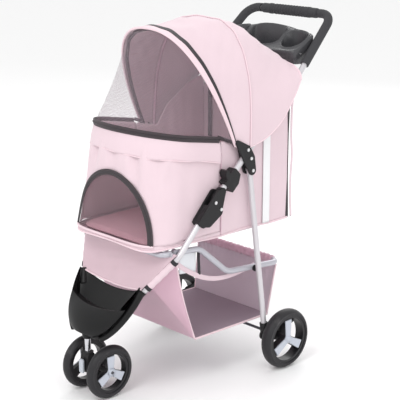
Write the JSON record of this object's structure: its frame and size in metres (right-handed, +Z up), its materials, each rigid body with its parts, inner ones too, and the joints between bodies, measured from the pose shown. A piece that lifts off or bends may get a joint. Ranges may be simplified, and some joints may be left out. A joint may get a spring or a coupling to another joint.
{
  "type": "pet stroller",
  "caption": "Folding pet stroller: tube frame, twin-wheel caster front, zipped cloth cabin with canopy, mesh window and arched door, open-sided basket, foam handle and cup tray.",
  "frame": {"origin": "centre of the footprint's bounding box, on the floor", "axes": "+Z up, -Y forwards, +X to the left of a person pushing it"},
  "size_m": [0.489, 0.822, 0.9805],
  "materials": {
    "frame_silver": "satin silver powder coat",
    "frame_grey": "satin grey powder coat",
    "black_plastic": "fine-textured black nylon",
    "hub_plastic": "semi-gloss black moulding",
    "tray_plastic": "fine-textured dark grey moulding",
    "foam": "closed-cell foam, matte",
    "rivet_steel": "plain steel",
    "stem_steel": "plated steel",
    "axle_steel": "black oxide steel",
    "lever_grey": "satin light grey",
    "tyre": "matte foam rubber tyre",
    "rim_plastic": "semi-gloss black",
    "cover_grey": "satin blue-grey",
    "cloth_pink": "plain-woven polyester",
    "cloth_basket": "plain-woven polyester, deeper pink",
    "mesh": "fine black netting",
    "floor_pad": "woven cover on a stiff board",
    "rim_black": "black binding tape and zip",
    "hoop_wire": "sprung wire in a sewn sleeve"
  },
  "bodies": {
    "front_frame": {"front_tube_left": "frame_silver", "front_tube_right": "frame_silver", "lock_housing_left": "black_plastic", "lock_housing_right": "black_plastic", "lock_rivets": "rivet_steel", "cabin_support_tube": "frame_grey", "front_hub": "hub_plastic", "hub_screws": "rivet_steel", "cabin_front": "cloth_pink", "cabin_side_left": "cloth_pink", "cabin_side_right": "cloth_pink", "cabin_back": "cloth_pink", "floor_board": "floor_pad", "rim_hoop": "rim_black", "apron": "cloth_pink", "canopy_rear_panel": "cloth_pink"},
    "handle_frame": {"handle_tube": "frame_silver", "handle_foam": "foam", "handle_grip": "foam", "parent_tray": "tray_plastic", "tray_screws": "rivet_steel", "hinge_bracket_left": "black_plastic", "hinge_bracket_right": "black_plastic", "bracket_rivets": "rivet_steel", "fold_block_left": "black_plastic", "fold_block_right": "black_plastic"},
    "lock_left": {"lock_slider_left": "black_plastic"},
    "lock_right": {"lock_slider_right": "black_plastic"},
    "rear_legs": {"rear_leg_left": "frame_silver", "rear_leg_right": "frame_silver", "wheel_holder_left": "black_plastic", "wheel_holder_right": "black_plastic", "rear_axle": "axle_steel"},
    "brake_left": {"brake_pedal_left": "black_plastic"},
    "brake_right": {"brake_pedal_right": "black_plastic"},
    "lower_frame": {"lower_frame_tube": "frame_grey", "frame_collars": "black_plastic", "basket": "cloth_basket"},
    "caster": {"caster_stem": "stem_steel", "caster_housing": "black_plastic", "front_axle": "axle_steel"},
    "swivel_lever": {"swivel_lock_lever": "lever_grey"},
    "canopy_front": {"canopy_front_hoop": "hoop_wire", "canopy_front_panel": "cloth_pink"},
    "canopy_mid": {"canopy_mid_hoop": "hoop_wire"},
    "front_door": {"front_door": "mesh"},
    "back_door": {"back_door": "cloth_pink"},
    "window": {"window_mesh": "mesh"},
    "front_wheel_left": {"front_tyre_left": "tyre", "front_rim_left": "rim_plastic", "front_cover_left": "cover_grey"},
    "front_wheel_right": {"front_tyre_right": "tyre", "front_rim_right": "rim_plastic", "front_cover_right": "cover_grey"},
    "rear_wheel_left": {"rear_tyre_left": "tyre", "rear_rim_left": "rim_plastic", "rear_cover_left": "cover_grey"},
    "rear_wheel_right": {"rear_tyre_right": "tyre", "rear_rim_right": "rim_plastic", "rear_cover_right": "cover_grey"}
  },
  "joints": [
    {"name": "frame_fold", "type": "hinge", "parent": "front_frame", "child": "handle_frame", "pos_m": [0, -0.072, 0.498], "axis": [-1, 0, 0], "range_deg": [0, 130], "deforming": ["basket", "canopy_rear_panel"]},
    {"name": "leg_fold", "type": "hinge", "parent": "handle_frame", "child": "rear_legs", "pos_m": [0, 0.045, 0.583], "axis": [1, 0, 0], "range_deg": [0, 94]},
    {"name": "lower_frame_fold", "type": "hinge", "parent": "front_frame", "child": "lower_frame", "pos_m": [0, -0.206, 0.401], "axis": [-1, 0, 0], "range_deg": [0, 73]},
    {"name": "lock_left_slide", "type": "slide", "parent": "handle_frame", "child": "lock_left", "axis": [0, 0.7358, 0.6772], "range_m": [0, 0.022], "stiffness_N_per_m": 300, "springref_m": -0.004},
    {"name": "lock_right_slide", "type": "slide", "parent": "handle_frame", "child": "lock_right", "axis": [0, 0.7358, 0.6772], "range_m": [0, 0.022], "stiffness_N_per_m": 300, "springref_m": -0.004},
    {"name": "caster_swivel", "type": "hinge", "parent": "front_frame", "child": "caster", "pos_m": [0, -0.368, 0.15], "axis": [0, 0, 1], "continuous": true},
    {"name": "front_wheel_left_spin", "type": "hinge", "parent": "caster", "child": "front_wheel_left", "pos_m": [0.051, -0.338, 0.073], "axis": [1, 0, 0], "continuous": true},
    {"name": "front_wheel_right_spin", "type": "hinge", "parent": "caster", "child": "front_wheel_right", "pos_m": [-0.051, -0.338, 0.073], "axis": [1, 0, 0], "continuous": true},
    {"name": "rear_wheel_left_spin", "type": "hinge", "parent": "rear_legs", "child": "rear_wheel_left", "pos_m": [0.227, 0.153, 0.085], "axis": [1, 0, 0], "continuous": true},
    {"name": "rear_wheel_right_spin", "type": "hinge", "parent": "rear_legs", "child": "rear_wheel_right", "pos_m": [-0.227, 0.153, 0.085], "axis": [1, 0, 0], "continuous": true},
    {"name": "brake_left_press", "type": "hinge", "parent": "rear_legs", "child": "brake_left", "pos_m": [0.203, 0.176, 0.112], "axis": [-1, 0, 0], "range_deg": [0, 18]},
    {"name": "brake_right_press", "type": "hinge", "parent": "rear_legs", "child": "brake_right", "pos_m": [-0.203, 0.176, 0.112], "axis": [-1, 0, 0], "range_deg": [0, 18]},
    {"name": "swivel_lock_flip", "type": "hinge", "parent": "caster", "child": "swivel_lever", "pos_m": [0, -0.3905, 0.105], "axis": [-1, 0, 0], "range_deg": [0, 25]},
    {"name": "canopy_mid_fold", "type": "hinge", "parent": "front_frame", "child": "canopy_mid", "pos_m": [0, 0, 0.652], "axis": [-1, 0, 0], "range_deg": [0, 30]},
    {"name": "canopy_front_fold", "type": "hinge", "parent": "canopy_mid", "child": "canopy_front", "pos_m": [0, 0, 0.652], "axis": [-1, 0, 0], "range_deg": [0, 30], "deforming": ["canopy_front_panel"]},
    {"name": "front_door_open", "type": "hinge", "parent": "front_frame", "child": "front_door", "pos_m": [0, -0.292, 0.427], "axis": [1, 0, 0], "range_deg": [0, 85]},
    {"name": "back_door_open", "type": "hinge", "parent": "front_frame", "child": "back_door", "pos_m": [0, 0.214, 0.752], "axis": [1, 0, 0], "range_deg": [0, 80]},
    {"name": "window_open", "type": "hinge", "parent": "front_frame", "child": "window", "pos_m": [0, -0.262, 0.716], "axis": [1, 0, 0], "range_deg": [0, 110], "deforming": ["window_mesh"]}
  ],
  "couplings": [
    {"joint": "leg_fold", "follows": "frame_fold", "ratio": 0.72},
    {"joint": "lower_frame_fold", "follows": "frame_fold", "ratio": 0.56},
    {"joint": "canopy_front_fold", "follows": "canopy_mid_fold", "ratio": 1}
  ]
}
